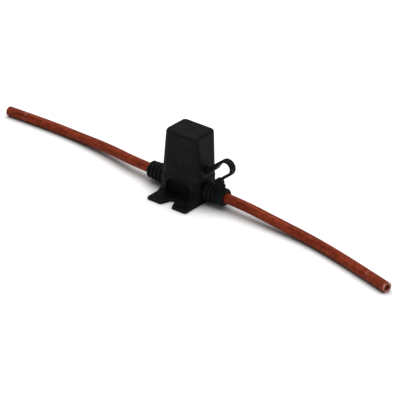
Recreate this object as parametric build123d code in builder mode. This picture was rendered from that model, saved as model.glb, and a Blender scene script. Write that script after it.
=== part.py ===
from build123d import *
import math
import os

# Inline holder for one standard blade fuse, in a soft black moulding with a screw-down flange.
# X runs along the two leads, with the tethered side at +X. The flange points to -Y, and Z is up.
# The origin is on the mounting surface, under the middle of the tower. All sizes are millimetres.

# Blade fuse
fuse_core_width = 16.2
fuse_core_thickness = 4.0
fuse_head_height = 4.0
fuse_head_overhang = 1.45
fuse_head_step = 0.55
fuse_core_height = 8.3
blade_width = 5.2
blade_thickness = 0.65
blade_spacing = 9.3
blade_length = 7.0
element_rise = 9.0
link_height = 1.8
link_drop = 2.4
fuse_corner = 0.4
blade_chamfer = 0.9
test_point_width = 1.8
test_point_depth = 0.9
element_clearance = 0.1

# Lead wire: stranded conductor in a thick insulation, cut with a short slug at the free end
lead_diameter = 6.4
conductor_diameter = 3.7
conductor_clearance = 0.05
slug_length = 15.0
slug_gap = 0.4
strand_recess = 1.2
strand_setback = 0.2

# Body tower, its neck under the cap, and the lead's height in it
body_width = 30.0
body_depth = 21.4
body_corner = 5.0
seam_height = 16.3
shoulder_softness = 0.5
neck_height = 7.0
lead_height = 7.5

# Flange with two feet and a tapered screw notch
foot_reach = 11.5
foot_thickness = 1.9
foot_corner = 0.7
flare_radius = 4.8
flare_sink = 0.15
flare_embed = 2.0
notch_mouth = 8.8
notch_width = 5.0
notch_depth = 7.6
recess_width = 19.0
recess_top = 12.6
recess_depth = 2.6
recess_arch = 4.6

# Ribbed boots round the leads
boot_length = 14.6
boot_root_radius = 6.6
boot_tip_radius = 5.6
rib_pitch = 3.0
rib_width = 2.1
rib_height = 0.95
bore_clearance = 0.07
boot_embed = 1.0

# Cap
cap_inset = 0.3
cap_height = 29.4
cap_top_width = 24.3
cap_top_depth = 20.2
cap_top_corner = 3.0
cap_edge = 1.8
cap_wall = 1.7
cap_roof = 2.0
cap_fit = 0.25

# Tether strap: a flat band from the cap's rim to a collar round the boot at +X
strap_width = 4.6
strap_thickness = 1.9
loop_radius = 4.5
loop_flat = 0.06
loop_corner_count = 3
loop_out = 14.1
loop_rise = 11.85
loop_rising = 40.0
loop_falling = 40.0
landing_inset = 1.5
strap_bend = 1.5
strap_exit = 1.0
knee_out = 4.3
knee_rising = 60.0
knee_radius = 6.0
collar_width = 4.8
collar_wall = 1.1
collar_clearance = 0.05
collar_step = 0.1
collar_lip = 0.8
collar_lip_height = 0.6
lug_height = 3.6
lug_reach = 0.6
root_out = 7.1
root_rise = 8.5
root_run = 6.8
bead_radius = 1.3
bead_out = 1.2
bead_rise = 1.1
inner_bead_radius = 1.5
inner_bead_in = 1.9
inner_bead_rise = 4.2

# Flag terminals: a contact for the blade and a crimp barrel for the conductor
blade_side_clearance = 0.15
contact_height = 8.4
contact_rise = 3.9
sheet = 0.8
contact_corner = 0.35
lip_width = 1.9
blade_grip = 0.02
barrel_length = 7.4
barrel_start = 3.0
barrel_bore_clearance = 0.05
barrel_wall = 0.7
strap_neck_width = 2.6
chamber_clearance = 0.3
chamber_roof = 1.0
slit_clearance = 0.3
pocket_depth = 2.0
pocket_clearance = 0.2
insulation_start = 11.8
bore_end = 2.4
cut_overrun = 1.0

# Sizes that follow from the ones above
fuse_head_width = fuse_core_width + 2 * fuse_head_overhang
fuse_head_thickness = fuse_core_thickness + 2 * fuse_head_step
lead_radius = lead_diameter / 2
conductor_radius = conductor_diameter / 2
bore_radius = lead_radius + bore_clearance
body_front = -body_depth / 2
foot_front = body_front - foot_reach
boot_end = body_width / 2 + boot_length
cap_width = body_width - 2 * cap_inset
cap_depth = body_depth - 2 * cap_inset
cap_corner = body_corner - cap_inset
cap_top = seam_height + cap_height
contact_foot = lead_height + contact_rise
contact_width = blade_width + 2 * (sheet + blade_side_clearance)
neck_top = seam_height + neck_height
pocket_floor = neck_top - pocket_depth
fuse_base = pocket_floor
fuse_core_top = fuse_base + fuse_core_height
fuse_top = fuse_core_top + fuse_head_height
blade_foot = fuse_base - blade_length
chamber_top = pocket_floor - chamber_roof
collar_outer = boot_tip_radius + collar_step
collar_inner = collar_outer - collar_wall
collar_end = boot_end - collar_lip
collar_start = collar_end - collar_width
seat_radius = collar_inner - collar_clearance
collar_middle = (collar_start + collar_end) / 2

# The tether's loop is a round of equal corners, with a short flat between them, and its rising run bends at
# a knee and meets the cap's lug.
lug_face = cap_width / 2 + lug_reach
loop_middle = (cap_width / 2 + loop_out, seam_height + loop_rise)
half_turn = (180 + loop_rising - loop_falling) / (2 * loop_corner_count)
corner_reach = loop_radius / math.cos(math.radians(half_turn))
corner_radius = loop_radius - loop_flat / (2 * math.tan(math.radians(half_turn)))
corner_angles = [math.radians(90 + loop_rising - step * half_turn)
                 for step in range(1, 2 * loop_corner_count, 2)]
loop_corners = [(loop_middle[0] + corner_reach * math.cos(angle),
                 loop_middle[1] + corner_reach * math.sin(angle)) for angle in corner_angles]
rise_slope = math.tan(math.radians(loop_rising))
knee_x = cap_width / 2 + knee_out
knee = (knee_x, loop_corners[0][1] - rise_slope * (loop_corners[0][0] - knee_x))
lug_middle = knee[1] - math.tan(math.radians(knee_rising)) * (knee_x - lug_face - strap_exit)

# Share of a lead's shorter run that each corner's arc takes, and the height of a lead that lies down
run_share = 0.45
floor_level = lead_radius

os.makedirs("parts", exist_ok=True)


def save(piece, name):
    """Label a finished piece and write it as a STEP file of its own."""
    piece.label = name
    export_step(piece, f"parts/{name}.step")


def side_plane(side):
    """Plane along one lead, with its first axis outwards, its second axis up and its origin on the lead."""
    return Plane(origin=(0, 0, lead_height), x_dir=(side, 0, 0), z_dir=(0, -side, 0))


def across_plane(distance):
    """Plane square to the leads, at a distance along X, with its origin on the leads' axis."""
    return Plane(origin=(distance, 0, lead_height), x_dir=(0, 1, 0), z_dir=(1, 0, 0))


def rib_crown(distance):
    """Outer radius of a boot, which tapers from its root to its tip."""
    share = (distance - body_width / 2) / boot_length
    return boot_root_radius + (boot_tip_radius - boot_root_radius) * share


def cavity_size(height):
    """Width and depth of the cap's cavity at a height above the mounting surface."""
    share = (height - seam_height) / cap_height
    width = cap_width + (cap_top_width - cap_width) * share - 2 * cap_wall
    depth = cap_depth + (cap_top_depth - cap_depth) * share - 2 * cap_wall
    return width, depth


def boot(side, last_rib_end, tip_radius):
    """One ribbed boot as a turned solid: rounded ribs on a tapered core, and a plain stretch at its tip."""
    with BuildPart() as part:
        with BuildSketch(side_plane(side)):
            with BuildLine():
                root = body_width / 2 - boot_embed
                at = (root, rib_crown(body_width / 2) - rib_height)
                Line((root, 0), at)
                centre = body_width / 2 + rib_pitch / 2
                while centre + rib_width / 2 <= last_rib_end:
                    start = (centre - rib_width / 2, rib_crown(centre - rib_width / 2) - rib_height)
                    crown = (centre, rib_crown(centre))
                    finish = (centre + rib_width / 2, rib_crown(centre + rib_width / 2) - rib_height)
                    Line(at, start)
                    ThreePointArc(start, crown, finish)
                    at = finish
                    centre += rib_pitch
                if tip_radius is None:
                    Polyline(at, (boot_end, at[1]), (boot_end, 0), (root, 0))
                else:
                    lip_radius = tip_radius + collar_lip_height
                    Polyline(at, (collar_start, at[1]), (collar_start, tip_radius), (collar_end, tip_radius),
                             (collar_end, lip_radius), (boot_end, lip_radius), (boot_end, 0), (root, 0))
            make_face()
        revolve(axis=Axis((0, 0, lead_height), (1, 0, 0)))
    return part.part


def flare_section(plane, wall):
    """Section of the concave curve from a wall, at a distance out from the origin, down to the feet."""
    spring = foot_thickness + flare_radius - flare_sink
    slant = flare_radius * math.sin(math.pi / 4)
    low = (wall + flare_radius, foot_thickness - flare_sink)
    high = (wall, spring)
    with BuildSketch(plane) as section:
        with BuildLine():
            ThreePointArc(low, (wall + flare_radius - slant, spring - slant), high)
            back = wall - flare_embed
            Polyline(high, (back, spring), (back, flare_sink), (low[0], flare_sink), low)
        make_face()
    return section.sketch


def front_plane(x, y):
    """Upright plane square to the leads through a point, with its first axis towards the flange's front."""
    return Plane(origin=(x, y, 0), x_dir=(0, -1, 0), z_dir=(-1, 0, 0))


with BuildPart() as flange:
    # Curved flare along the front wall and round the tower's two front corners
    corner_x = body_width / 2 - body_corner
    corner_y = body_front + body_corner
    extrude(flare_section(front_plane(0, 0), body_depth / 2), amount=corner_x, both=True)
    for side in (-1, 1):
        corner_section = flare_section(front_plane(side * corner_x, corner_y), body_corner)
        corner_axis = Axis((side * corner_x, corner_y, 0), (0, 0, 1))
        revolve(corner_section, axis=corner_axis, revolution_arc=side * 90)

    # Foot plate, as wide as the tower, which also trims the flare
    with BuildSketch(Plane.XY):
        with Locations((0, foot_front / 2)):
            Rectangle(body_width, -foot_front)
    extrude(amount=foot_thickness)
    with BuildSketch(Plane.XY):
        with Locations((0, foot_front / 2)):
            Rectangle(body_width, -foot_front)
    extrude(amount=foot_thickness + flare_radius, mode=Mode.INTERSECT)


with BuildPart() as holder_body:
    # Tower with rounded corners, and the neck that the cap slides over
    with BuildSketch(Plane.XY):
        RectangleRounded(body_width, body_depth, body_corner)
    extrude(amount=seam_height)
    fillet(holder_body.faces().sort_by(Axis.Z)[-1].edges(), shoulder_softness)
    neck_corner = cap_corner - cap_wall
    for height in (seam_height, neck_top):
        neck_width, neck_depth = cavity_size(height)
        with BuildSketch(Plane.XY.offset(height)):
            RectangleRounded(neck_width - 2 * cap_fit, neck_depth - 2 * cap_fit, neck_corner)
    loft()

    # Flange with the two feet
    add(flange.part)

    # Arched recess above the notch, which leaves a gusset at each side
    with BuildSketch(Plane.XZ.offset(-body_front - recess_depth)) as recess:
        with Locations((0, (foot_thickness + recess_top) / 2)):
            Rectangle(recess_width, recess_top - foot_thickness)
        fillet(recess.vertices().group_by(Axis.Y)[-1], recess_arch)
    extrude(amount=recess_depth + flare_radius, mode=Mode.SUBTRACT)

    # Screw notch, open at the front and tapered to a round end
    with BuildSketch(Plane.XY):
        with BuildLine():
            notch_back = foot_front + notch_depth
            notch_round = notch_width / 2
            notch_side = notch_mouth / 2
            notch_start = foot_front - cut_overrun
            left_tangent = (-notch_round, notch_back - notch_round)
            right_tangent = (notch_round, notch_back - notch_round)
            ThreePointArc(left_tangent, (0, notch_back), right_tangent)
            Polyline(right_tangent, (notch_side, foot_front), (notch_side, notch_start),
                     (-notch_side, notch_start), (-notch_side, foot_front), left_tangent)
        make_face()
    extrude(amount=foot_thickness, mode=Mode.SUBTRACT)
    foot_edges = holder_body.edges().filter_by(Axis.Z).group_by(Axis.Y)[0]
    fillet(foot_edges, foot_corner)

    # Boots, then the bores, contact chambers, blade slits and fuse pocket inside
    add(boot(-1, boot_end, None))
    add(boot(1, collar_start, seat_radius))
    for side in (-1, 1):
        with BuildSketch(across_plane(side * bore_end)):
            Circle(bore_radius)
        extrude(amount=side * (boot_end - bore_end), mode=Mode.SUBTRACT)
        with BuildSketch(Plane.XY.offset(lead_height)):
            with Locations((side * blade_spacing / 2, 0)):
                chamber_depth = blade_thickness + 2 * (sheet + chamber_clearance)
                Rectangle(contact_width + 2 * chamber_clearance, chamber_depth)
        extrude(amount=chamber_top - lead_height, mode=Mode.SUBTRACT)
        with BuildSketch(Plane.XY.offset(chamber_top)):
            with Locations((side * blade_spacing / 2, 0)):
                Rectangle(blade_width + 2 * slit_clearance, blade_thickness + 2 * slit_clearance)
        extrude(amount=chamber_roof, mode=Mode.SUBTRACT)
    with BuildSketch(Plane.XY.offset(pocket_floor)):
        Rectangle(fuse_core_width + 2 * pocket_clearance, fuse_core_thickness + 2 * pocket_clearance)
    extrude(amount=pocket_depth, mode=Mode.SUBTRACT)

save(holder_body.part, "holder_body")


with BuildPart() as cap:
    # Tapered shell with soft edges, closed at the top
    with BuildSketch(Plane.XY.offset(seam_height)):
        RectangleRounded(cap_width, cap_depth, cap_corner)
    with BuildSketch(Plane.XY.offset(cap_top)):
        RectangleRounded(cap_top_width, cap_top_depth, cap_top_corner)
    loft()
    fillet(cap.faces().sort_by(Axis.Z)[-1].edges(), cap_edge)

    # Lug at the rim that carries the tether
    with BuildSketch(Plane.XY.offset(lug_middle - lug_height / 2)):
        with Locations((cap_width / 2, 0)):
            Rectangle(2 * lug_reach, strap_width)
    extrude(amount=lug_height)

    # Cavity, open at the rim
    inner_corner = cap_corner - cap_wall
    roof_height = cap_top - cap_roof
    for height in (seam_height, roof_height):
        cavity_width, cavity_depth = cavity_size(height)
        with BuildSketch(Plane.XY.offset(height)):
            RectangleRounded(cavity_width, cavity_depth, inner_corner)
    loft(mode=Mode.SUBTRACT)

save(cap.part, "cap")


with BuildPart() as tether_strap:
    # Flat band, drawn in the plane of the leads: out of the lug, round the loop and down to the collar
    landing_x = collar_middle - landing_inset
    fall_slope = math.tan(math.radians(loop_falling))
    turn_down = loop_corners[-1][1] - (loop_corners[-1][0] - landing_x) * fall_slope
    landing_foot = lead_height + collar_inner + collar_wall / 2
    bends = [strap_bend, knee_radius] + [corner_radius] * loop_corner_count + [strap_bend]
    with BuildSketch(Plane.XZ):
        with BuildLine() as band_line:
            FilletPolyline((lug_face, lug_middle), (lug_face + strap_exit, lug_middle), knee, *loop_corners,
                           (landing_x, turn_down), (landing_x, landing_foot), radius=bends)
        trace(band_line.edges(), line_width=strap_thickness)
    extrude(amount=strap_width / 2, both=True)

    # Thick root under the band's rising run
    with BuildSketch(Plane.XZ):
        with BuildLine():
            root_foot = (cap_width / 2 + root_out, seam_height + root_rise)
            root_tip = (knee_x + root_run, knee[1] + root_run * rise_slope)
            Polyline((lug_face, lug_middle - lug_height / 2), root_foot, root_tip, knee,
                     (lug_face, lug_middle + lug_height / 2), close=True)
        make_face()
    extrude(amount=strap_width / 2, both=True)

    # Rounded beads across the two sides of the band, above the collar
    with BuildSketch(Plane.XZ):
        with Locations((landing_x + bead_out, lead_height + collar_outer + bead_rise)):
            Circle(bead_radius)
        with Locations((landing_x - inner_bead_in, lead_height + collar_outer + inner_bead_rise)):
            Circle(inner_bead_radius)
    extrude(amount=strap_width / 2, both=True)

    # Collar on the boot's seat
    with BuildSketch(across_plane(collar_start)):
        Circle(collar_outer)
    extrude(amount=collar_width)
    with BuildSketch(across_plane(collar_start)):
        Circle(collar_inner)
    extrude(amount=collar_width, mode=Mode.SUBTRACT)

band_length = sum(edge.length for edge in band_line.edges())
print(f"tether: length {band_length:.1f} mm from the lug at height {lug_middle:.1f} mm")
save(tether_strap.part, "tether_strap")


with BuildPart() as fuse_housing:
    # Wide head on a thinner core, with a slot for the metal element and two test points in the top
    with BuildSketch(Plane.XY.offset(fuse_base)):
        Rectangle(fuse_core_width, fuse_core_thickness)
    extrude(amount=fuse_core_height)
    with BuildSketch(Plane.XY.offset(fuse_core_top)):
        Rectangle(fuse_head_width, fuse_head_thickness)
    extrude(amount=fuse_head_height)
    fillet(fuse_housing.edges().filter_by(Axis.Z), fuse_corner)
    with BuildSketch(Plane.XY.offset(fuse_base)):
        slot_width = blade_spacing + blade_width + 2 * element_clearance
        Rectangle(slot_width, blade_thickness + 2 * element_clearance)
    extrude(amount=element_rise + element_clearance, mode=Mode.SUBTRACT)
    with BuildSketch(Plane.XY.offset(fuse_base + element_rise)):
        with Locations((-blade_spacing / 2, 0), (blade_spacing / 2, 0)):
            Rectangle(test_point_width, test_point_depth)
    extrude(amount=fuse_top - fuse_base - element_rise, mode=Mode.SUBTRACT)

save(fuse_housing.part, "fuse_housing")


with BuildPart() as fuse_element:
    # Two blades and the narrow link between them, stamped from one strip
    with BuildSketch(Plane.XZ):
        with Locations((-blade_spacing / 2, (blade_foot + fuse_base + element_rise) / 2),
                       (blade_spacing / 2, (blade_foot + fuse_base + element_rise) / 2)):
            Rectangle(blade_width, blade_length + element_rise)
        with Locations((0, fuse_base + element_rise - link_drop)):
            Rectangle(blade_spacing, link_height)
    extrude(amount=blade_thickness / 2, both=True)
    blade_tips = fuse_element.edges().filter_by(Axis.Y).group_by(Axis.Z)[0]
    chamfer(blade_tips, blade_chamfer)

save(fuse_element.part, "fuse_element")


def terminal(side):
    """One flag terminal: a sheet contact rolled round the blade, a neck and a crimp barrel."""
    grip_face = blade_thickness / 2 + blade_grip
    middle = side * blade_spacing / 2
    with BuildPart() as part:
        with BuildSketch(Plane.XY.offset(contact_foot)):
            with Locations((middle, grip_face + sheet / 2)):
                Rectangle(contact_width, sheet)
            for edge in (-1, 1):
                with Locations((middle + edge * (contact_width / 2 - sheet / 2), 0)):
                    Rectangle(sheet, 2 * (grip_face + sheet))
                lip_x = middle + edge * (contact_width / 2 - lip_width / 2)
                with Locations((lip_x, -grip_face - sheet / 2)):
                    Rectangle(lip_width, sheet)
        extrude(amount=contact_height)
        fillet(part.edges().filter_by(Axis.Z).group_by(Axis.X)[0], contact_corner)
        fillet(part.edges().filter_by(Axis.Z).group_by(Axis.X)[-1], contact_corner)
        neck_x = side * (barrel_start + strap_neck_width / 2)
        neck_foot = lead_height + conductor_radius + barrel_bore_clearance + barrel_wall / 2
        with BuildSketch(Plane.XY.offset(neck_foot)):
            with Locations((neck_x, grip_face + sheet / 2)):
                Rectangle(strap_neck_width, sheet)
        extrude(amount=contact_foot - neck_foot)
        with BuildSketch(across_plane(side * barrel_start)):
            Circle(conductor_radius + barrel_bore_clearance + barrel_wall)
        extrude(amount=side * barrel_length)
        with BuildSketch(across_plane(side * barrel_start)):
            Circle(conductor_radius + barrel_bore_clearance)
        extrude(amount=side * barrel_length, mode=Mode.SUBTRACT)
    return part.part


save(terminal(-1), "terminal_left")
save(terminal(1), "terminal_right")


# Free leads. Each route is a hand-chosen list: it leaves the boot straight, falls slowly and then lies down.
left_route = [(-insulation_start, 0, lead_height), (-40.0, 0, lead_height), (-69.9, 7.0, 5.2),
              (-98.6, 10.3, floor_level), (-126.7, 10.7, floor_level), (-159.3, 8.9, floor_level)]
right_route = [(insulation_start, 0, lead_height), (40.0, 0, lead_height), (68.8, -1.2, 5.0),
               (94.2, -2.4, floor_level), (126.9, -9.9, floor_level), (158.9, -19.2, floor_level)]


def route_radii(points):
    """Radius of the tangent arc at each corner: as large as its two runs allow."""
    radii = []
    for before, at, after in zip(points, points[1:], points[2:]):
        run_in = Vector(*at) - Vector(*before)
        run_out = Vector(*after) - Vector(*at)
        half_turn = math.radians(run_in.get_angle(run_out)) / 2
        radii.append(run_share * min(run_in.length, run_out.length) / math.tan(half_turn))
    return radii


def moved_end(points, back):
    """The same route with its free end pulled back by a distance along the last run."""
    last = Vector(*points[-1])
    along = (last - Vector(*points[-2])).normalized()
    return points[:-1] + [tuple(last - along * back)]


def swept(name, points, radii, outer, inner):
    """Round solid or tube along a route of straight runs and tangent arcs."""
    with BuildPart() as part:
        with BuildLine() as path:
            FilletPolyline(*points, radius=radii)
        section_plane = Plane(origin=path.line @ 0, z_dir=path.line % 0)
        with BuildSketch(section_plane):
            Circle(outer)
            if inner > 0:
                Circle(inner, mode=Mode.SUBTRACT)
        sweep()
    length = sum(edge.length for edge in path.edges())
    expected = math.pi * (outer ** 2 - inner ** 2) * length
    rounded_radii = [round(radius, 1) for radius in radii]
    print(f"{name}: length {length:.1f} mm, arc radii {rounded_radii}")
    print(f"{name}: volume {part.part.volume:.1f} mm3 of {expected:.1f} mm3")
    save(part.part, name)


for name, points in (("left", left_route), ("right", right_route)):
    side = -1 if name == "left" else 1
    radii = route_radii(points)
    jacket = moved_end(points, slug_length + slug_gap)
    core = [(side * (barrel_start + strand_setback), 0, lead_height)] + moved_end(points, strand_recess)[1:]
    swept(f"{name}_lead_insulation", jacket, radii, lead_radius, conductor_radius + conductor_clearance)
    swept(f"{name}_lead_conductor", core, radii, conductor_radius, 0)
    free_end = Vector(*points[-1])
    outwards = (free_end - Vector(*points[-2])).normalized()
    slug_plane = Plane(origin=free_end - outwards * slug_length, z_dir=outwards)
    with BuildPart() as slug:
        with BuildSketch(slug_plane):
            Circle(lead_radius)
            Circle(conductor_radius + conductor_clearance, mode=Mode.SUBTRACT)
        extrude(amount=slug_length)
    save(slug.part, f"{name}_insulation_slug")
    print(f"{name} slug: axis {tuple(outwards)}, end {tuple(free_end)}")
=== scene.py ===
"""Looks of an inline fuse holder: soft black moulding, tethered cap, blade fuse and two red leads."""

import math

import bmesh
import bpy
import numpy as np
from bpy.props import FloatProperty, FloatVectorProperty, IntProperty, PointerProperty
from mathutils import Matrix, Vector


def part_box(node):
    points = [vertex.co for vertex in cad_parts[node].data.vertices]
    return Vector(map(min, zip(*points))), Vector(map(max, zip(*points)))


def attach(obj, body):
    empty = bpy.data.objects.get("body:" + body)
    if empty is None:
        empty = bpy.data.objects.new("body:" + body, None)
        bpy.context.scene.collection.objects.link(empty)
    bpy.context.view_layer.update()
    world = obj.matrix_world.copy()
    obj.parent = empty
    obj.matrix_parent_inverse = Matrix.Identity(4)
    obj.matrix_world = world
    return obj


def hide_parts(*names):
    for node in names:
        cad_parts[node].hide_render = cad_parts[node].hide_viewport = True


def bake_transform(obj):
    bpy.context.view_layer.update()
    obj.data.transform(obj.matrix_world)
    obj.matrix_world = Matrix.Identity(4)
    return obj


bl_info = {
    "name": "Inline fuse holder",
    "version": (1, 0, 0),
    "blender": (4, 5, 0),
    "location": "View3D > Sidebar > Fuse holder",
    "description": "Builds the moulded holder, its cap and tether, the blade fuse and the two red leads",
    "category": "Object",
}

MM = 0.001
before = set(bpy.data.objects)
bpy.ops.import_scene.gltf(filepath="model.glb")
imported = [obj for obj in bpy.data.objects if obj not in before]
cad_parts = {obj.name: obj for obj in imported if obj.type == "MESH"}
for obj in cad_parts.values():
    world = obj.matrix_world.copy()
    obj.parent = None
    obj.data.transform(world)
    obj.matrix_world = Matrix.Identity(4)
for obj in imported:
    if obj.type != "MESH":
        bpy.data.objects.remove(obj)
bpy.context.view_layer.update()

# Places that the solids give
CAP_LOW, CAP_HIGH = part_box("cap")
SLUG_LOW, SLUG_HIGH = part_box("left_insulation_slug")
LEAD_DIAMETER = SLUG_HIGH.z - SLUG_LOW.z

# The routes of the two free leads, from inside the boots to their cut ends, in metres
LEAD_ROUTES = {
    "left": [(-0.0118, 0, 0.0075), (-0.040, 0, 0.0075), (-0.0699, 0.0070, 0.0052), (-0.0986, 0.0103, 0.0032),
             (-0.1267, 0.0107, 0.0032), (-0.1593, 0.0089, 0.0032)],
    "right": [(0.0118, 0, 0.0075), (0.040, 0, 0.0075), (0.0688, -0.0012, 0.0050), (0.0942, -0.0024, 0.0032),
              (0.1269, -0.0099, 0.0032), (0.1589, -0.0192, 0.0032)],
}


def linear(code):
    """Linear colour with full alpha from an sRGB hex code: the channels over 255, with the curve undone."""
    channels = [int(code[place:place + 2], 16) / 255 for place in (1, 3, 5)]
    return tuple(c / 12.92 if c <= 0.04045 else ((c + 0.055) / 1.055) ** 2.4 for c in channels) + (1.0,)


def colour(name, description, code):
    """A colour setting, with its default given as an sRGB hex code."""
    return FloatVectorProperty(name=name, description=description, subtype="COLOR", size=4, min=0, max=1,
                               default=linear(code))


def distance(name, description, millimetres):
    """A length setting, with its default given in millimetres."""
    return FloatProperty(name=name, description=description, unit="LENGTH", subtype="DISTANCE", precision=5,
                         default=millimetres * MM)


def angle(name, description, degrees):
    """An angle setting, with its default given in degrees."""
    return FloatProperty(name=name, description=description, subtype="ANGLE", default=math.radians(degrees))


def number(name, description, value):
    """A setting that is a plain number."""
    return FloatProperty(name=name, description=description, default=value)


class FuseHolderColours(bpy.types.PropertyGroup):
    """Colours of the finishes."""
    rubber: colour("Rubber", "Body and feet", "#0A0B0D")
    rubber_worn: colour("Rubber, paler", "Where the moulding is rubbed", "#262827")
    cap_rubber: colour("Cap rubber", "Cap and tether", "#0E0F11")
    jacket: colour("Jacket", "Lead jacket", "#953C22")
    jacket_deep: colour("Jacket, deeper", "Streaks in the lead jacket", "#6A240F")
    # Paler colour of the cut faces: partly the cut's whitening, partly a painted highlight
    jacket_cut_and_highlight: colour("Jacket, cut", "Freshly cut end of the jacket", "#B87C70")
    copper: colour("Copper", "Bare strands", "#B8704A")
    brass: colour("Brass", "Terminals", "#C9B06A")
    zinc: colour("Zinc", "Fuse blades and link", "#B9BBBD")
    fuse_green: colour("Fuse body", "Translucent fuse body", "#2E9A4A")
    floor: colour("Floor", "Pale floor", "#F2F2F2")


class FuseHolderLeadSizes(bpy.types.PropertyGroup):
    """Sizes of the two leads."""
    diameter: FloatProperty(name="Diameter", description="Over the jacket", unit="LENGTH", precision=5,
                            default=LEAD_DIAMETER)
    bore: distance("Bore", "Inside diameter of the jacket", 3.8)
    slug: distance("Slug", "Length of the scored slug at the cut end", 15.0)
    score: distance("Score", "Width of the score between jacket and slug", 0.4)
    strand: distance("Strand", "Diameter of one copper strand", 0.74)
    lay: distance("Lay", "Length in which the strands turn once", 42.0)
    recess: distance("Recess", "Depth of the strands inside the cut end", 1.2)
    edge: distance("Edge", "Rounding of the jacket's cut edges", 0.18)
    slices: IntProperty(name="Slices", description="Points round the jacket", default=40)


class FuseHolderCapSizes(bpy.types.PropertyGroup):
    """Sizes of the cap."""
    width: distance("Width", "Width at the rim", 29.4)
    depth: distance("Depth", "Depth at the rim", 20.8)
    corner: distance("Corner", "Corner radius at the rim", 4.7)
    top_width: distance("Top width", "Width at the top", 24.3)
    top_depth: distance("Top depth", "Depth at the top", 20.2)
    top_corner: distance("Top corner", "Corner radius at the top", 3.0)
    edge_drop: distance("Edge drop", "Height that the top's soft edge takes", 2.3)
    end_edge: distance("End edge", "Width of the soft edge at the two ends", 1.6)
    front_edge: distance("Front edge", "Width of the soft edge at the front", 4.2)
    back_edge: distance("Back edge", "Width of the soft edge at the back", 1.8)
    wall: distance("Wall", "Thickness of the side walls", 1.7)
    roof: distance("Roof", "Thickness of the top", 2.0)
    rim: distance("Rim", "Rounding of the rim's outer edge", 0.35)
    sink: distance("Sink", "How far the middle of a wall sinks in", 0.16)
    crown: distance("Crown", "How far the top's edge lies under its middle", 0.12)


class FuseHolderTetherSizes(bpy.types.PropertyGroup):
    """Sizes of the tether, its two beads and its collar."""
    wall: distance("Wall", "Face of the cap's wall at its rim, out from the tower's middle", 14.7)
    width: distance("Width", "Width of the band", 4.6)
    thickness: distance("Thickness", "Thickness of the band", 1.9)
    root: distance("Root", "Height of the band where it leaves the cap", 3.6)
    loop_radius: distance("Loop radius", "Radius of the loop's middle line", 4.5)
    loop_out: distance("Loop out", "Middle of the loop out from the cap's wall", 14.1)
    loop_rise: distance("Loop rise", "Middle of the loop above the cap's rim", 11.85)
    rising: angle("Rising", "Slope of the run to the loop", 40)
    falling: angle("Falling", "Slope of the run from the loop", 40)
    knee_out: distance("Knee out", "Knee of the rising run, out from the cap's wall", 4.3)
    knee_rising: angle("Knee rising", "Slope of the run to the knee", 60)
    exit: distance("Exit", "Straight run out of the cap", 1.0)
    reach: distance("Reach", "Pad on the cap's wall, out from it", 0.6)
    bend: distance("Bend", "Radius of the two small bends", 1.5)
    knee: distance("Knee", "Radius of the knee", 6.0)
    collar_start: distance("Collar start", "Nearer end of the collar along the lead", 24.0)
    collar_width: distance("Collar width", "Width of the collar", 4.8)
    collar_outer: distance("Collar outer", "Outer radius of the collar", 5.7)
    collar_inner: distance("Collar inner", "Inner radius of the collar", 4.6)
    landing: distance("Landing", "Stem's place along the lead", 24.9)
    root_out: distance("Root out", "Lower corner of the root, out from the cap's wall", 7.1)
    root_rise: distance("Root rise", "Lower corner of the root, above the cap's rim", 8.5)
    root_run: distance("Root run", "Tip of the root, out from the knee", 6.8)
    bead: distance("Bead", "Radius of the outer bead above the collar", 1.3)
    bead_out: distance("Bead out", "Outer bead's middle, out from the stem", 1.2)
    bead_rise: distance("Bead rise", "Outer bead's middle above the collar", 1.1)
    inner_bead: distance("Inner bead", "Radius of the inner bead", 1.9)
    inner_bead_in: distance("Inner bead in", "Inner bead's middle, in from the stem", 1.9)
    inner_bead_rise: distance("Inner bead rise", "Inner bead's middle above the collar", 3.8)


class FuseHolderStage(bpy.types.PropertyGroup):
    """Camera, floor and lamps."""
    azimuth: angle("Azimuth", "Camera round the holder", 37.15)
    elevation: angle("Elevation", "Camera above the floor", 27.83)
    roll: angle("Roll", "Camera turned about its own line of sight", 1.81)
    away: distance("Away", "Camera from the point it looks at", 1161.5)
    height: distance("Height", "Point that the camera looks at, above the floor", 10.95)
    pixel: distance("Pixel", "Size of one pixel of the photograph at that point", 0.62)
    place_x: number("Place X", "That point's pixel across the photograph", 188.64)
    place_y: number("Place Y", "That point's pixel down the photograph", 178.16)
    frame_size: number("Frame size", "Pixels across the photograph", 400)
    sensor: number("Sensor", "Sensor width in millimetres", 36)
    key: number("Key lamp", "Strength of the wide soft lamp, nearly overhead", 2.2)
    key_rise: angle("Key rise", "Key lamp above the floor", 76)
    key_spread: angle("Key spread", "How wide the key lamp looks", 75)
    fill: number("Fill lamp", "Power of the lamp at the right, in watts", 0.6)
    sky: number("Sky", "Strength of the even light from all round", 0.30)
    lift: number("Lift", "How much brighter the camera sees the floor", 1.4)
    # The contact shade below is painted into the floor's colour, not cast by the lamps
    contact_reach: distance("Contact reach", "How far the shade by what touches the floor reaches", 12.0)
    contact_depth: number("Contact depth", "How deep that shade is", 0.85)


def add(owner, kind, settings=None, inputs=None):
    """Add one shader node to a material or the world: settings are its properties, and inputs are values or
    the sockets to link."""
    made = owner.node_tree.nodes.new(kind)
    for name, value in (settings or {}).items():
        setattr(made, name, value)
    for name, value in (inputs or {}).items():
        if isinstance(value, bpy.types.NodeSocket):
            owner.node_tree.links.new(value, made.inputs[name])
        else:
            made.inputs[name].default_value = value
    return made


def noise(owner, place, millimetres, detail, roughness=0.5, distortion=0.0):
    """Cloudy noise from 0 to 1, whose features are about this many millimetres across."""
    return add(owner, "ShaderNodeTexNoise", None, {
        "Vector": place, "Scale": 1 / (millimetres * MM), "Detail": detail, "Roughness": roughness,
        "Distortion": distortion}).outputs["Fac"]


def remap(owner, value, source, target):
    """A value carried evenly from one range to another, and held at the ends."""
    return add(owner, "ShaderNodeMapRange", None, {
        "Value": value, "From Min": source[0], "From Max": source[1], "To Min": target[0],
        "To Max": target[1]}).outputs["Result"]


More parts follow.
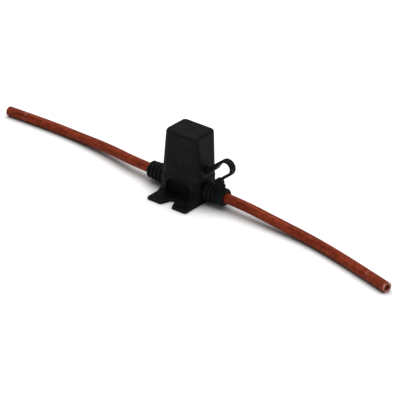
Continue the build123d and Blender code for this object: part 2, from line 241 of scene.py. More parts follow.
def compute(owner, operation, first, second, clamped=False):
    """The result of one operation on two values."""
    settings = {"operation": operation, "use_clamp": clamped}
    return add(owner, "ShaderNodeMath", settings, {0: first, 1: second}).outputs[0]


def mix(owner, share, low, high):
    """A colour mixed from two: the low one where the share is 0, and the high one where it is 1."""
    return add(owner, "ShaderNodeMix", {"data_type": "RGBA"}, {0: share, 6: low, 7: high}).outputs[2]


def bump(owner, height, strength, millimetres, under=None):
    """The surface's direction, tilted by a height this many millimetres deep, over other bumps if given."""
    inputs = {"Height": height, "Strength": strength, "Distance": millimetres * MM}
    if under is not None:
        inputs["Normal"] = under
    return add(owner, "ShaderNodeBump", None, inputs).outputs["Normal"]


def stretched(owner, place, share):
    """Places squeezed along Z to a share, so that a texture there is drawn out along it."""
    return add(owner, "ShaderNodeMapping", None, {"Vector": place, "Scale": (1, 1, share)}).outputs["Vector"]


def scaled(tone, share):
    """A colour with each channel times a share, and full alpha."""
    return tuple(share * c for c in tone[:3]) + (1.0,)


def fresh(name):
    """A material with an empty node tree."""
    made = bpy.data.materials.new(name)
    made.use_nodes = True
    made.node_tree.nodes.clear()
    return made


def finished(material, kind, inputs):
    """The material, with a shader of this kind and these inputs on its surface."""
    shader = add(material, kind, None, inputs)
    add(material, "ShaderNodeOutputMaterial", None, {"Surface": shader.outputs[0]})
    return material


def moulded_rubber(name, base, worn, roughness):
    """Thermoplastic rubber, moulded against a fine-sparked tool: near black, a soft broad gloss, a faint
    grain, cloudy paler patches, and edges rubbed a little grey."""
    made = fresh(name)
    place = add(made, "ShaderNodeTexCoord").outputs["Object"]
    cloud = noise(made, place, 6.0, 5.0, roughness=0.6)
    smear = noise(made, place, 1.6, 6.0, roughness=0.65, distortion=0.4)
    # The real grain is about 0.05 mm. It is drawn at 0.28 mm, so that it shows.
    grain = noise(made, place, 0.28, 3.0)
    patch = remap(made, cloud, (0.42, 0.68), (0.0, 0.35))
    # Pointiness is 0.5 on a flat face and more on an outward edge
    edge = add(made, "ShaderNodeNewGeometry").outputs["Pointiness"]
    rubbed = remap(made, edge, (0.502, 0.55), (0.0, 0.9))
    tint = mix(made, compute(made, "MAXIMUM", patch, rubbed), base, worn)
    gloss = remap(made, smear, (0.3, 0.7), (roughness - 0.07, roughness + 0.09))
    wave = bump(made, smear, 0.3, 0.08)
    skin = bump(made, grain, 0.4, 0.03, under=wave)
    return finished(made, "ShaderNodeBsdfPrincipled", {
        "Base Color": tint, "Roughness": gloss, "IOR": 1.5, "Specular IOR Level": 0.05, "Normal": skin})


def extruded_jacket(name, colours):
    """Flexible PVC, drawn over the strands through a die: satin, with darker streaks along it and a cut face
    that is paler, partly by the cut's whitening and partly by a painted highlight."""
    made = fresh(name)
    place = add(made, "ShaderNodeAttribute", {"attribute_name": "along_lead"}).outputs["Vector"]
    # Streaks are about 1.3 mm wide and 14 times as long
    streak = noise(made, stretched(made, place, 0.07), 1.3, 4.0, roughness=0.65)
    cloud = noise(made, place, 3.0, 5.0, roughness=0.62)
    grain = noise(made, place, 0.5, 4.0)
    share = remap(made, compute(made, "MULTIPLY", streak, cloud), (0.17, 0.33), (0.0, 1.0))
    tint = mix(made, share, colours.jacket_deep, colours.jacket)
    # A face that is wholly cut is pale, partly whitened by the cut and partly a painted highlight,
    # and a lower share is torn into patches
    cut = add(made, "ShaderNodeAttribute", {"attribute_name": "cut_face"}).outputs["Fac"]
    torn = remap(made, cloud, (0.4, 0.6), (-0.9, 0.5))
    pale = compute(made, "MULTIPLY", compute(made, "ADD", cut, torn, clamped=True), cut)
    gloss = remap(made, cloud, (0.3, 0.7), (0.42, 0.58))
    lines = bump(made, streak, 0.4, 0.08)
    skin = bump(made, grain, 0.3, 0.04, under=lines)
    return finished(made, "ShaderNodeBsdfPrincipled", {
        "Base Color": mix(made, pale, tint, colours.jacket_cut_and_highlight), "Roughness": gloss, "IOR": 1.53,
        "Specular IOR Level": 0.07, "Normal": skin})


def metal(name, tone, roughness, line):
    """Bare metal with fine lines, as left by a die or a press tool: tinted mirror, broken up along the lines,
    which are about this many millimetres apart."""
    made = fresh(name)
    place = add(made, "ShaderNodeTexCoord").outputs["Object"]
    lines = noise(made, stretched(made, place, 0.08), line, 3.0)
    stain = noise(made, place, 2.5, 4.0)
    tint = mix(made, remap(made, stain, (0.35, 0.75), (0.0, 0.5)), tone, scaled(tone, 0.45))
    gloss = remap(made, lines, (0.3, 0.7), (roughness - 0.06, roughness + 0.1))
    return finished(made, "ShaderNodeBsdfPrincipled", {
        "Base Color": tint, "Metallic": 1.0, "Roughness": gloss, "Normal": bump(made, lines, 0.3, 0.02)})


def clear_nylon(name, tone):
    """Tinted nylon, moulded with polished faces: coloured, half see-through, with flow marks in it."""
    made = fresh(name)
    place = add(made, "ShaderNodeTexCoord").outputs["Object"]
    flow = noise(made, place, 4.0, 3.0, distortion=0.8)
    return finished(made, "ShaderNodeBsdfPrincipled", {
        "Base Color": mix(made, flow, scaled(tone, 0.6), tone), "Roughness": 0.16, "IOR": 1.53,
        "Transmission Weight": 0.55, "Normal": bump(made, flow, 0.15, 0.05)})


def white_floor(name, tone, stage):
    """Matt white paper: it takes the holder's shadow from the lamps, and a painted contact shade darkens its
    colour close by what touches it. The camera sees it exposed a little brighter, so that it is plain white
    and only the close shadow stays."""
    made = fresh(name)
    ray = add(made, "ShaderNodeLightPath").outputs
    seen = compute(made, "MAXIMUM", ray["Is Camera Ray"], ray["Is Glossy Ray"])
    seen = compute(made, "MAXIMUM", seen, ray["Is Transmission Ray"])
    tint = mix(made, seen, tone, scaled(tone, stage.lift))
    # Painted contact shade: an ambient occlusion node darkens the floor's colour near what touches it
    painted_contact_shade = add(made, "ShaderNodeAmbientOcclusion", {"samples": 16}, {"Distance": stage.contact_reach})
    open_share = compute(made, "POWER", painted_contact_shade.outputs["AO"], stage.contact_depth)
    black = (0, 0, 0, 1)
    return finished(made, "ShaderNodeBsdfDiffuse", {"Color": mix(made, open_share, black, tint)})


def wear(piece, material):
    """Give a piece one material on every face."""
    if not piece.material_slots:
        piece.data.materials.append(material)
    for place in piece.material_slots:
        place.material = material


def shell(name, grids, wrap_rows=False):
    """One mesh from grids of points, each rows by columns by 3. Columns run round a ring and always close.
    Rows close into a loop if wrap_rows says so. Otherwise the first and last ring each get one flat face."""
    points, faces, start = [], [], 0
    for grid in grids:
        rows, columns = grid.shape[:2]
        index = np.arange(start, start + rows * columns).reshape(rows, columns)
        ends = [] if wrap_rows else [index[0, ::-1].tolist(), index[-1].tolist()]
        index = np.vstack([index, index[:1]]) if wrap_rows else index
        index = np.hstack([index, index[:, :1]])
        quads = np.stack([index[:-1, :-1], index[:-1, 1:], index[1:, 1:], index[1:, :-1]], axis=-1)
        faces += quads.reshape(-1, 4).tolist() + ends
        points.append(grid.reshape(-1, 3))
        start += rows * columns
    mesh = bpy.data.meshes.new(name)
    mesh.from_pydata(np.concatenate(points).tolist(), [], faces)
    work = bmesh.new()
    work.from_mesh(mesh)
    bmesh.ops.recalc_face_normals(work, faces=work.faces)
    work.to_mesh(mesh)
    work.free()
    mesh.shade_smooth()
    piece = bpy.data.objects.new(name, mesh)
    bpy.context.scene.collection.objects.link(piece)
    return piece


def rings(half_x, half_y, radius, sink, per_corner, per_side):
    """Rounded rectangles as rings of points, one for each entry of the first three arrays: quarter circles of
    the given radius at the corners, joined by sides that sink towards the middle along a half sine wave."""
    turn = np.linspace(0, np.pi / 2, per_corner)
    share = np.linspace(0, 1, per_side + 2)[1:-1]
    corners = []
    for quarter in range(4):
        around = turn + quarter * np.pi / 2
        sign_x = 1 if quarter in (0, 3) else -1
        sign_y = 1 if quarter in (0, 1) else -1
        x = sign_x * (half_x - radius)[:, None] + radius[:, None] * np.cos(around)
        y = sign_y * (half_y - radius)[:, None] + radius[:, None] * np.sin(around)
        corners.append(np.stack([x, y], axis=-1))
    parts = []
    for quarter in range(4):
        start = corners[quarter][:, -1:, :]
        finish = corners[(quarter + 1) % 4][:, :1, :]
        facing = np.array([math.cos((quarter + 1) * math.pi / 2), math.sin((quarter + 1) * math.pi / 2)])
        side = start + (finish - start) * share[None, :, None]
        side -= sink[:, None, None] * np.sin(np.pi * share)[None, :, None] * facing
        parts += [corners[quarter], side]
    return np.concatenate(parts, axis=1)


def merged(node):
    """A copy of a solid's mesh with its doubled points joined."""
    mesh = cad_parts[node].data.copy()
    work = bmesh.new()
    work.from_mesh(mesh)
    bmesh.ops.remove_doubles(work, verts=work.verts, dist=0.001 * MM)
    work.to_mesh(mesh)
    work.free()
    return mesh


def softened(name, mesh, voxel, passes):
    """The mesh made again on a fine lattice and smoothed, so that sharp corners become small soft rounds."""
    piece = bpy.data.objects.new(name, mesh)
    bpy.context.scene.collection.objects.link(piece)
    lattice = piece.modifiers.new("Lattice", "REMESH")
    lattice.mode = "VOXEL"
    lattice.voxel_size = voxel
    smooth = piece.modifiers.new("Soft", "SMOOTH")
    smooth.factor = 0.5
    smooth.iterations = passes
    graph = bpy.context.evaluated_depsgraph_get()
    done = bpy.data.meshes.new_from_object(piece.evaluated_get(graph))
    done.name = name
    piece.modifiers.clear()
    piece.data = done
    done.materials.clear()
    done.shade_smooth()
    return piece


class Route:
    """A lead's middle line, read from its smooth curve, and the two directions square to it at each place."""

    def __init__(self, name, control, inner_end):
        curve = bpy.data.curves.new(name, "CURVE")
        curve.dimensions = "3D"
        curve.resolution_u = 32
        spline = curve.splines.new("NURBS")
        spline.points.add(len(control) - 1)
        for point, place in zip(spline.points, control):
            point.co = (*place, 1)
        spline.order_u = 3
        spline.use_endpoint_u = True
        holder = bpy.data.objects.new(name, curve)
        bpy.context.scene.collection.objects.link(holder)
        graph = bpy.context.evaluated_depsgraph_get()
        line = bpy.data.meshes.new_from_object(holder.evaluated_get(graph))
        points = np.zeros(len(line.vertices) * 3)
        line.vertices.foreach_get("co", points)
        bpy.data.objects.remove(holder)
        points = points.reshape(-1, 3)
        steps = np.linalg.norm(np.diff(points, axis=0), axis=1)
        points = points[np.concatenate([[True], steps > 1e-7])]
        self.start = points[0]
        # The straight stretch inside the holder is counted as negative length
        self.inner = abs(points[0][0]) - inner_end
        self.points = np.vstack([points[0] - np.sign(points[0][0]) * np.array([self.inner, 0, 0]), points])
        steps = np.linalg.norm(np.diff(self.points, axis=0), axis=1)
        self.at = np.concatenate([[0], np.cumsum(steps)]) - self.inner
        self.length = self.at[-1]
        self.headings = np.gradient(self.points, self.at, axis=0)

    def place(self, along):
        """Middle points, and the sideways and upward directions, at these lengths along the lead."""
        centre = np.stack([np.interp(along, self.at, self.points[:, k]) for k in range(3)], axis=-1)
        heading = np.stack([np.interp(along, self.at, self.headings[:, k]) for k in range(3)], axis=-1)
        heading /= np.linalg.norm(heading, axis=1, keepdims=True)
        side = np.cross(heading, (0, 0, 1))
        side /= np.linalg.norm(side, axis=1, keepdims=True)
        return centre, side, np.cross(side, heading)

    def ring_grid(self, along, radius, columns, offset_side=0, offset_up=0):
        """Rings round the lead: each is a circle of its radius, square to the lead at its length along."""
        centre, side, up = self.place(np.asarray(along))
        turn = np.linspace(0, 2 * np.pi, columns, endpoint=False)
        across = np.asarray(radius)[:, None] * np.cos(turn) + np.asarray(offset_side).reshape(-1, 1)
        above = np.asarray(radius)[:, None] * np.sin(turn) + np.asarray(offset_up).reshape(-1, 1)
        return centre[:, None] + across[..., None] * side[:, None] + above[..., None] * up[:, None]


def tube_profile(start, finish, outer, inner, edge, step, pale):
    """Closed outline of a tube's wall as lengths and radii: out along the outside, round the end, back inside
    and round the start. The four edges are quarter circles. Also how pale each point is, by the cut's
    whitening
    and a painted highlight: 0 along the tube and as given at its start and its finish."""
    quarter = np.linspace(0, np.pi / 2, 5)
    sine, cosine = edge * np.sin(quarter), edge * np.cos(quarter)
    count = max(3, int((finish - start) / step))
    body = np.linspace(start + edge, finish - edge, count)
    outside = np.stack([body, np.full(count, outer)], axis=-1)
    end_out = np.stack([finish - edge + sine, outer - edge + cosine], axis=-1)
    end_in = np.stack([finish - edge + cosine, inner + edge - sine], axis=-1)
    inside = np.stack([body[::-1], np.full(count, inner)], axis=-1)
    start_in = np.stack([start + edge - sine, inner + edge - cosine], axis=-1)
    start_out = np.stack([start + edge - cosine, outer - edge + sine], axis=-1)
    parts = [outside[:-1], end_out, end_in[:-1], inside[:-1], start_in, start_out[:-1]]
    shares = (0, pale[1], pale[1], 0, pale[0], pale[0])
    cut = np.concatenate([np.full(len(part), share) for part, share in zip(parts, shares)])
    # The first ring of the outside is also the last of the start's rounding
    cut[0] = pale[0]
    return np.concatenate(parts), cut


def lead_tube(name, route, start, finish, sizes, material, pale):
    """A length of jacket as a closed tube round the route, with its own straight coordinates for the streaks.
    Its start and finish are as pale as given, partly by the cut's whitening and partly by a painted
    highlight."""
    step = 1.2 * MM
    outline, cut = tube_profile(start, finish, sizes.diameter / 2, sizes.bore / 2, sizes.edge, step, pale)
    grid = route.ring_grid(outline[:, 0], outline[:, 1], sizes.slices)
    piece = shell(name, [grid], wrap_rows=True)
    turn = np.linspace(0, 2 * np.pi, sizes.slices, endpoint=False)
    straight = np.stack([outline[:, 1:] * np.cos(turn), outline[:, 1:] * np.sin(turn),
                         np.repeat(outline[:, :1], sizes.slices, axis=1)], axis=-1)
    along = piece.data.attributes.new("along_lead", "FLOAT_VECTOR", "POINT")
    along.data.foreach_set("vector", straight.astype(np.float32).ravel())
    faced = piece.data.attributes.new("cut_face", "FLOAT", "POINT")
    faced.data.foreach_set("value", np.repeat(cut, sizes.slices).astype(np.float32))
    wear(piece, material)
    return piece


def strand_bundle(name, route, finish, sizes):
    """Nineteen strands round the route, one in the middle and rings of six and twelve, each a thin tube on a
    helix whose angle grows with length over the lay. Their ends are cut a little unevenly."""
    step, unevenness, stagger, sides = 1.8 * MM, 0.5 * MM, 2.4, 8
    # A little under half, so that neighbouring strands don't touch
    strand_radius = 0.49 * sizes.strand
    spots = [(0.0, 0.0)] + [(sizes.strand, k * math.tau / 6) for k in range(6)]
    spots += [((2 if k % 2 == 0 else math.sqrt(3)) * sizes.strand, k * math.tau / 12) for k in range(12)]
    grids = []
    for place, (radius, first_turn) in enumerate(spots):
        uneven = unevenness * (1 + math.sin(stagger * place))
        along = np.arange(-route.inner, finish - uneven, step)
        along = np.append(along, finish - uneven)
        turned = first_turn + math.tau * along / sizes.lay
        thick = np.full(len(along), strand_radius)
        grids.append(route.ring_grid(along, thick, sides, radius * np.cos(turned), radius * np.sin(turned)))
    return shell(name, grids)


class FUSEHOLDER_OT_stage(bpy.types.Operator):
    """Set the camera, the white floor, the lamps and the sky."""
    bl_idname = "fuse_holder.stage"
    bl_label = "Stage"

    def execute(self, context):
        stage = context.scene.fuse_holder_stage
        self.camera(context.scene, stage)
        self.floor(context.scene, stage)
        self.lamps(context.scene, stage)
        self.sky(context.scene, stage)
        context.scene.view_settings.view_transform = "Standard"
        return {"FINISHED"}

    def camera(self, scene, stage):
        """The camera looks past the holder, so that the point it was measured by falls on its own pixel."""
        right = Vector((math.cos(stage.azimuth), math.sin(stage.azimuth), 0))
        back = Vector((math.sin(stage.azimuth) * math.cos(stage.elevation),
                       -math.cos(stage.azimuth) * math.cos(stage.elevation), math.sin(stage.elevation)))
        up = back.cross(right)
        turned_right = right * math.cos(stage.roll) + up * math.sin(stage.roll)
        turned_up = up * math.cos(stage.roll) - right * math.sin(stage.roll)
        measured = Vector((0, 0, stage.height))
        middle = stage.frame_size / 2
        aim = measured + turned_right * (middle - stage.place_x) * stage.pixel
        aim += turned_up * (stage.place_y - middle) * stage.pixel
        eye = measured + back * stage.away
        backwards = (eye - aim).normalized()
        across = turned_up.cross(backwards).normalized()
        data = bpy.data.cameras.new("camera")
        data.sensor_width = stage.sensor
        data.lens = stage.sensor * stage.away / (stage.frame_size * stage.pixel)
        data.clip_start, data.clip_end = 0.05, 20
        camera = bpy.data.objects.new("camera", data)
        scene.collection.objects.link(camera)
        turn = Matrix((across, backwards.cross(across), backwards)).transposed()
        camera.matrix_world = Matrix.Translation(eye) @ turn.to_4x4()
        scene.camera = camera

    def floor(self, scene, stage):
        """A wide flat sheet just under the holder."""
        reach, drop = 4.0, 0.05 * MM
        mesh = bpy.data.meshes.new("floor")
        mesh.from_pydata([(-reach, -reach, -drop), (reach, -reach, -drop), (reach, reach, -drop),
                          (-reach, reach, -drop)], [], [(0, 1, 2, 3)])
        floor = bpy.data.objects.new("floor", mesh)
        scene.collection.objects.link(floor)
        wear(floor, white_floor("floor_paper", tuple(scene.fuse_holder_colours.floor), stage))

    def lamps(self, scene, stage):
        """A wide soft lamp nearly overhead, a little behind the holder, and a small one at the right."""
        flat, rise = math.cos(stage.key_rise), math.sin(stage.key_rise)
        key_place = (-flat * math.sin(stage.azimuth), flat * math.cos(stage.azimuth), rise)
        key = bpy.data.lights.new("key_lamp", "SUN")
        key.energy = stage.key
        key.angle = stage.key_spread
        fill = bpy.data.lights.new("fill_lamp", "AREA")
        fill.energy = stage.fill
        fill.size = 0.5
        fill_place = (0.75, -0.25, 0.35)
        for data, place in ((key, key_place), (fill, fill_place)):
            lamp = bpy.data.objects.new(data.name, data)
            lamp.location = place
            lamp.rotation_euler = (-Vector(place)).to_track_quat("-Z", "Y").to_euler()
            scene.collection.objects.link(lamp)

    def sky(self, scene, stage):
        """Even light from all round, which the camera sees as plain white."""
        world = bpy.data.worlds.new("sky")
        world.use_nodes = True
        world.node_tree.nodes.clear()
        ray = add(world, "ShaderNodeLightPath").outputs
        strength = remap(world, ray["Is Camera Ray"], (0.0, 1.0), (stage.sky, 1.0))
        light = add(world, "ShaderNodeBackground", None, {"Color": (1, 1, 1, 1), "Strength": strength})
        add(world, "ShaderNodeOutputWorld", None, {"Surface": light.outputs[0]})
        scene.world = world


class FUSEHOLDER_OT_leads(bpy.types.Operator):
    """Make the two red leads with their copper strands and scored slugs."""
    bl_idname = "fuse_holder.leads"
    bl_label = "Leads"

    def execute(self, context):
        sizes = context.scene.fuse_holder_leads
        colours = context.scene.fuse_holder_colours
        jacket = extruded_jacket("jacket_pvc_extruded", colours)
        copper = metal("strand_copper_drawn", tuple(colours.copper), roughness=0.32, line=0.15)
        for side, control in LEAD_ROUTES.items():
            low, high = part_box(f"{side}_lead_conductor")
            inner_end = min(abs(low.x), abs(high.x))
            route = Route(f"{side}_route", control, inner_end)
            jacket_end = route.length - sizes.slug - sizes.score
            lead = lead_tube(f"{side}_lead", route, 0, jacket_end, sizes, jacket, pale=(0, 0.55))
            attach(lead, "holder")
            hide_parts(f"{side}_lead_insulation")
            slug_start = route.length - sizes.slug
            slug = lead_tube(f"{side}_slug", route, slug_start, route.length, sizes, jacket, pale=(0.7, 1))
            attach(slug, f"{side}_slug")
            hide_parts(f"{side}_insulation_slug")
            strands = strand_bundle(f"{side}_strands", route, route.length - sizes.recess, sizes)
            wear(strands, copper)
            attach(strands, "holder")
            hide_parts(f"{side}_lead_conductor")
            path = route.place(np.linspace(0, jacket_end, 90))[0]
        return {"FINISHED"}


class FUSEHOLDER_OT_body(bpy.types.Operator):
    """Make the soft moulded body with its feet and ribbed boots."""
    bl_idname = "fuse_holder.body"
    bl_label = "Body"

    def execute(self, context):
        colours = context.scene.fuse_holder_colours
        piece = softened("body_moulding", merged("holder_body"), voxel=0.3 * MM, passes=2)
        tones = (colours.rubber, colours.rubber_worn)
        wear(piece, moulded_rubber("body_rubber_moulded", *tones, roughness=0.5))
        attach(piece, "holder")
        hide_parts("holder_body")
        return {"FINISHED"}


class FUSEHOLDER_OT_cap(bpy.types.Operator):
    """Make the tall tapered cap, closed at the top and hollow inside."""
    bl_idname = "fuse_holder.cap"
    bl_label = "Cap"

    def execute(self, context):
        sizes = context.scene.fuse_holder_cap
        colours = context.scene.fuse_holder_colours
        piece = shell("cap_moulding", [self.grid(sizes)])
        tones = (colours.cap_rubber, colours.rubber_worn)
        wear(piece, moulded_rubber("cap_rubber_moulded", *tones, roughness=0.46))
        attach(piece, "cap")
        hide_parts("cap")
        return {"FINISHED"}

    def grid(self, sizes):
        """Rings of rounded rectangles, from the middle of the ceiling down inside, round the rim, up outside
        and over the soft edge to the middle of the top. Width, depth and corner change evenly with height."""
        seam, top = CAP_LOW.z, CAP_HIGH.z
        # Scale of the smallest ring in the ceiling and in the top, which one flat face closes
        smallest = 0.03
        least_corner = 0.35 * MM
        # Under 1, so that a wall sinks in over most of its height
        sink_power = 0.8
        table = []

        def rows(height, end, front, back, share, sink):
            """Take more rings: heights, how far they stand in from the outer wall at the two ends, the front
            and the back, their scale about the axis, and their sink."""
            values = (height, end, front, back, share, sink)
            columns = [np.broadcast_to(value, len(height)) for value in values]
            table.append(np.stack(columns).astype(float))

        ceiling = top - sizes.roof
        rows(np.full(6, ceiling), sizes.wall, sizes.wall, sizes.wall, np.linspace(smallest, 1, 6), 0)
        rows(np.linspace(ceiling, seam, 12)[1:], sizes.wall, sizes.wall, sizes.wall, 1, 0)
        turn = np.linspace(0, np.pi / 2, 5)
        inset = sizes.rim * (1 - np.sin(turn))
        rows(seam + sizes.rim * (1 - np.cos(turn)), inset, inset, inset, 1, 0)
        edge_foot = top - sizes.edge_drop - sizes.crown
        outer = np.linspace(seam + sizes.rim, edge_foot, 16)[1:]
        climb = (outer - outer[0]) / (outer[-1] - outer[0])
        rows(outer, 0, 0, 0, 1, sizes.sink * np.sin(np.pi * climb) ** sink_power)
        turn = np.linspace(0, np.pi / 2, 13)[1:]
        over = 1 - np.cos(turn)
        rows(edge_foot + sizes.edge_drop * np.sin(turn), sizes.end_edge * over, sizes.front_edge * over,
             sizes.back_edge * over, 1, 0)
        shrink = 1 - np.linspace(0, 1 - smallest, 7)[1:]
        rows(top - sizes.crown * shrink ** 2, sizes.end_edge, sizes.front_edge, sizes.back_edge, shrink, 0)

        height, end, front, back, share, sink = np.concatenate(table, axis=1)
        taper = (height - seam) / (top - seam)
        half_x = (sizes.width + (sizes.top_width - sizes.width) * taper) / 2 - end
        half_y = (sizes.depth + (sizes.top_depth - sizes.depth) * taper - front - back) / 2
        corner = sizes.corner + (sizes.top_corner - sizes.corner) * taper - end
        corner = np.maximum(corner, least_corner)
        flat = rings(half_x * share, half_y * share, corner * share, sink, per_corner=9, per_side=14)
        flat[..., 1] += ((front - back) / 2)[:, None]
        return np.concatenate([flat, np.broadcast_to(height[:, None, None], flat.shape[:2] + (1,))], axis=-1)


class FUSEHOLDER_OT_tether(bpy.types.Operator):
    """Make the tether: the looped band with its root, and the still collar with its two beads."""
    bl_idname = "fuse_holder.tether"
    bl_label = "Tether"

    def execute(self, context):
        sizes = context.scene.fuse_holder_tether
        colours = context.scene.fuse_holder_colours
        axis_height = LEAD_ROUTES["right"][0][2]
        collar_top = axis_height + sizes.collar_outer
        outer_bead = self.bead(sizes, sizes.bead, sizes.landing + sizes.bead_out,
                               collar_top + sizes.bead_rise)
        inner_bead = self.bead(sizes, sizes.inner_bead, sizes.landing - sizes.inner_bead_in,
                               collar_top + sizes.inner_bead_rise)
        tones = (colours.cap_rubber, colours.rubber_worn)
        rubber = moulded_rubber("tether_rubber_moulded", *tones, roughness=0.46)
        band = self.melted("tether_band", [
            shell("band_rough", [self.band(sizes, axis_height), self.root(sizes, axis_height),
                                 self.pad(sizes, axis_height)])])
        collar = self.melted("tether_collar", [
            shell("beads_rough", [outer_bead, inner_bead, self.stem(sizes, collar_top)]),
            shell("collar_rough", [self.collar(sizes, axis_height)], wrap_rows=True)])
        for piece in (band, collar):
            wear(piece, rubber)
            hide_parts("tether_strap")
        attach(collar, "holder")
        self.follow_cap(band, sizes, collar_top)
        return {"FINISHED"}

    def melted(self, name, pieces):
        """One soft piece from overlapping closed ones."""
        work = bmesh.new()
        for piece in pieces:
            work.from_mesh(piece.data)
            bpy.data.objects.remove(piece)
        joined = bpy.data.meshes.new(name)
        work.to_mesh(joined)
        work.free()
        return softened(name, joined, voxel=0.17 * MM, passes=3)

    def stem(self, sizes, collar_top):
        """The block between the collar and the inner bead, a little wider than the band that it holds."""
        sunk, spare_x, spare_y, corner = 0.4 * MM, 0.35 * MM, 0.1 * MM, 0.5 * MM
        height = np.linspace(collar_top - sunk, collar_top + sizes.inner_bead_rise, 5)
        ones = np.ones(len(height))
        outline = rings((sizes.thickness / 2 + spare_x) * ones, (sizes.width / 2 + spare_y) * ones,
                        corner * ones, 0 * ones, per_corner=5, per_side=3)
        outline[..., 0] += sizes.landing
        z = np.broadcast_to(height[:, None, None], outline.shape[:2] + (1,))
        return np.concatenate([outline, z], axis=-1)

    def corners(self, sizes, axis_height):
        """Corners of the band's middle line in the plane of the leads, and the radius at each inner one. The
        loop is three equal corners round its middle, and the rising run bends at a knee."""
        wall, sunk = sizes.wall, 0.4 * MM
        middle = np.array([wall + sizes.loop_out, CAP_LOW.z + sizes.loop_rise])
        half_turn = (math.pi + sizes.rising - sizes.falling) / 6
        angles = math.pi / 2 + sizes.rising - half_turn * np.array([1, 3, 5])
        reach = sizes.loop_radius / math.cos(half_turn)
        loop = middle + reach * np.stack([np.cos(angles), np.sin(angles)], axis=-1)
        knee_x = wall + sizes.knee_out
        knee = np.array([knee_x, loop[0][1] - math.tan(sizes.rising) * (loop[0][0] - knee_x)])
        exit_x = wall + sizes.reach + sizes.exit
        root_z = knee[1] - math.tan(sizes.knee_rising) * (knee_x - exit_x)
        turn_down = loop[2][1] - math.tan(sizes.falling) * (loop[2][0] - sizes.landing)
        foot = axis_height + (sizes.collar_inner + sizes.collar_outer) / 2
        points = np.array([(wall - sunk, root_z), (exit_x, root_z), knee, *loop, (sizes.landing, turn_down),
                           (sizes.landing, foot)])
        radii = [sizes.bend, sizes.knee] + [sizes.loop_radius] * 3 + [sizes.bend]
        return points, radii

    def middle_line(self, sizes, axis_height):
        """Points of the middle line: straight runs, joined at each corner by an arc that touches both."""
        points, radii = self.corners(sizes, axis_height)
        arc_step, least_steps, count = 0.12, 4, 110
        line = [points[:1]]
        for before, at, after, radius in zip(points, points[1:], points[2:], radii):
            come = (at - before) / np.linalg.norm(at - before)
            leave = (after - at) / np.linalg.norm(after - at)
            turn = math.acos(float(np.clip(come @ leave, -1, 1)))
            touch = radius * math.tan(turn / 2)
            side = math.copysign(1, come[0] * leave[1] - come[1] * leave[0])
            centre = at - come * touch + side * radius * np.array([-come[1], come[0]])
            arc = np.linspace(0, turn, max(least_steps, int(turn / arc_step))) * side
            spoke = at - come * touch - centre
            line.append(centre + np.stack([spoke[0] * np.cos(arc) - spoke[1] * np.sin(arc),
                                           spoke[0] * np.sin(arc) + spoke[1] * np.cos(arc)], axis=-1))
        line.append(points[-1:])
        line = np.concatenate(line)
        steps = np.linalg.norm(np.diff(line, axis=0), axis=1)
        line = line[np.concatenate([[True], steps > 1e-6])]
        length = np.concatenate([[0], np.cumsum(np.linalg.norm(np.diff(line, axis=0), axis=1))])
        even = np.linspace(0, length[-1], count)
        return even, np.stack([np.interp(even, length, line[:, k]) for k in range(2)], axis=-1)

    def band(self, sizes, axis_height):
        """The band: a rounded rectangle carried along the middle line."""
        even, line = self.middle_line(sizes, axis_height)
        heading = np.gradient(line, even, axis=0)
        heading /= np.linalg.norm(heading, axis=1, keepdims=True)
        ones = np.ones(len(even))
        corner = 0.55 * MM
        outline = rings(ones * sizes.width / 2, ones * sizes.thickness / 2, ones * corner, 0 * ones,
                        per_corner=5, per_side=3)
        across, above = outline[..., 0], outline[..., 1]
        x = line[:, :1] - above * heading[:, 1:]
        z = line[:, 1:] + above * heading[:, :1]
        return np.stack([x, across, z], axis=-1)

    def root(self, sizes, axis_height):
        """The thick root under the rising run: a five-sided outline carried across the band, and drawn in a
        little towards its middle at both faces."""
        points = self.corners(sizes, axis_height)[0]
        knee = points[2]
        wall = points[0]
        tip = knee + sizes.root_run * np.array([1, math.tan(sizes.rising)])
        foot = np.array([sizes.wall + sizes.root_out, CAP_LOW.z + sizes.root_rise])
        half = np.array([0, sizes.root / 2])
        outline = np.array([wall - half, foot, tip, knee, wall + half])
        per_side = 8
        place = np.arange(0, len(outline), 1 / per_side)
        closed = np.vstack([outline, outline[:1]])
        known = np.arange(len(closed))
        outline = np.stack([np.interp(place, known, closed[:, k]) for k in range(2)], axis=-1)
        middle = outline.mean(axis=0)
        soft = np.array([0.35, 0.1, 0, 0, 0.1, 0.35]) * MM
        across = np.array([-0.5, -0.45, -0.38, 0.38, 0.45, 0.5]) * sizes.width
        span = np.linalg.norm(outline - middle, axis=1).max()
        flat = middle + (outline - middle) * (1 - soft / span)[:, None, None]
        y = np.broadcast_to(across[:, None], flat.shape[:2])
        return np.stack([flat[..., 0], y, flat[..., 1]], axis=-1)

    def pad(self, sizes, axis_height):
        """The pad on the cap's wall: a rounded rectangle, thin along X, with its outer face drawn in."""
        root_z = self.corners(sizes, axis_height)[0][0][1]
        along = sizes.wall + np.array([-0.9, -0.4, 0.45, 0.6]) * MM
        drawn_in = np.array([0, 0, 0, 0.15]) * MM
        corner = np.full(4, 0.6 * MM)
        outline = rings(sizes.width / 2 - drawn_in, sizes.root / 2 - drawn_in, corner, np.zeros(4),
                        per_corner=5, per_side=3)
        x = np.broadcast_to(along[:, None], outline.shape[:2])
        return np.stack([x, outline[..., 0], root_z + outline[..., 1]], axis=-1)

    def bead(self, sizes, size, middle_x, middle_z):
        """A bead: a bar across the band, as rings whose radius falls by a quarter circle at both ends."""
        soft = 0.7 * MM
        quarter = np.linspace(0, np.pi / 2, 6)
        reach = sizes.width / 2
        near = -reach + soft * (1 - np.cos(quarter))
        across = np.concatenate([near, -near[::-1]])
        near_radius = size - soft * (1 - np.sin(quarter))
        radius = np.concatenate([near_radius, near_radius[::-1]])
        turn = np.linspace(0, 2 * np.pi, 32, endpoint=False)
        x = middle_x + radius[:, None] * np.cos(turn)
        z = middle_z + radius[:, None] * np.sin(turn)
        return np.stack([x, np.broadcast_to(across[:, None], x.shape), z], axis=-1)

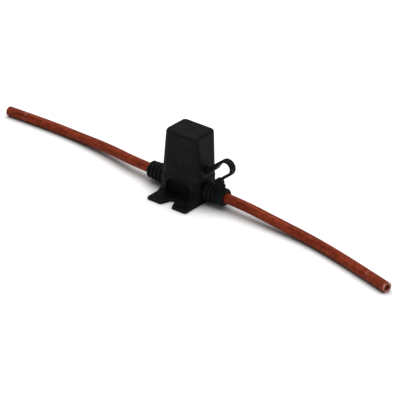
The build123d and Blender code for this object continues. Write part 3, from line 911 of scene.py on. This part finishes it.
    def collar(self, sizes, axis_height):
        """The collar: a rounded rectangle turned once about the lead's axis."""
        half_width = np.array([sizes.collar_width / 2])
        half_wall = np.array([(sizes.collar_outer - sizes.collar_inner) / 2])
        corner = np.array([0.4 * MM])
        outline = rings(half_width, half_wall, corner, np.zeros(1), per_corner=5, per_side=6)[0]
        middle_x = sizes.collar_start + sizes.collar_width / 2
        middle_radius = (sizes.collar_outer + sizes.collar_inner) / 2
        turn = np.linspace(0, 2 * np.pi, 96, endpoint=False)
        radius = middle_radius + outline[:, 1]
        y = radius[None] * np.cos(turn)[:, None]
        z = axis_height + radius[None] * np.sin(turn)[:, None]
        x = np.broadcast_to(middle_x + outline[:, 0][None], y.shape)
        return np.stack([x, y, z], axis=-1)

    def follow_cap(self, piece, sizes, collar_top):
        """Bake the band's place into its mesh. Nothing bends it between the holder and the cap."""
        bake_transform(piece)


class FUSEHOLDER_OT_fuse(bpy.types.Operator):
    """Finish the blade fuse and the two terminals, whose solids are right as they are."""
    bl_idname = "fuse_holder.fuse"
    bl_label = "Fuse and terminals"

    def execute(self, context):
        colours = context.scene.fuse_holder_colours
        finishes = {
            "fuse_housing": clear_nylon("fuse_nylon_moulded", tuple(colours.fuse_green)),
            "fuse_element": metal("fuse_zinc_stamped", tuple(colours.zinc), roughness=0.34, line=0.2),
            "terminal_left": metal("terminal_brass_stamped", tuple(colours.brass), roughness=0.3, line=0.2),
        }
        finishes["terminal_right"] = finishes["terminal_left"]
        for node, material in finishes.items():
            wear(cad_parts[node], material)
        return {"FINISHED"}


class FUSEHOLDER_PT_panel(bpy.types.Panel):
    """Lists the steps in the order in which they run."""
    bl_idname = "FUSEHOLDER_PT_panel"
    bl_label = "Fuse holder"
    bl_space_type = "VIEW_3D"
    bl_region_type = "UI"
    bl_category = "Fuse holder"

    def draw(self, context):
        for step in STEPS:
            self.layout.operator(step.bl_idname)


SETTINGS = {
    "fuse_holder_colours": FuseHolderColours,
    "fuse_holder_leads": FuseHolderLeadSizes,
    "fuse_holder_cap": FuseHolderCapSizes,
    "fuse_holder_tether": FuseHolderTetherSizes,
    "fuse_holder_stage": FuseHolderStage,
}
STEPS = [FUSEHOLDER_OT_stage, FUSEHOLDER_OT_leads, FUSEHOLDER_OT_body, FUSEHOLDER_OT_cap,
         FUSEHOLDER_OT_tether, FUSEHOLDER_OT_fuse]


def register():
    """Register the settings, the steps and the panel."""
    for made in [*SETTINGS.values(), *STEPS, FUSEHOLDER_PT_panel]:
        bpy.utils.register_class(made)
    for name, made in SETTINGS.items():
        setattr(bpy.types.Scene, name, PointerProperty(type=made))


def unregister():
    """Undo register."""
    for name in SETTINGS:
        delattr(bpy.types.Scene, name)
    for made in reversed([*SETTINGS.values(), *STEPS, FUSEHOLDER_PT_panel]):
        bpy.utils.unregister_class(made)


def main():
    """Run every step in order."""
    register()
    for step in STEPS:
        group, name = step.bl_idname.split(".")
        getattr(getattr(bpy.ops, group), name)()


if __name__ == "__main__":
    main()
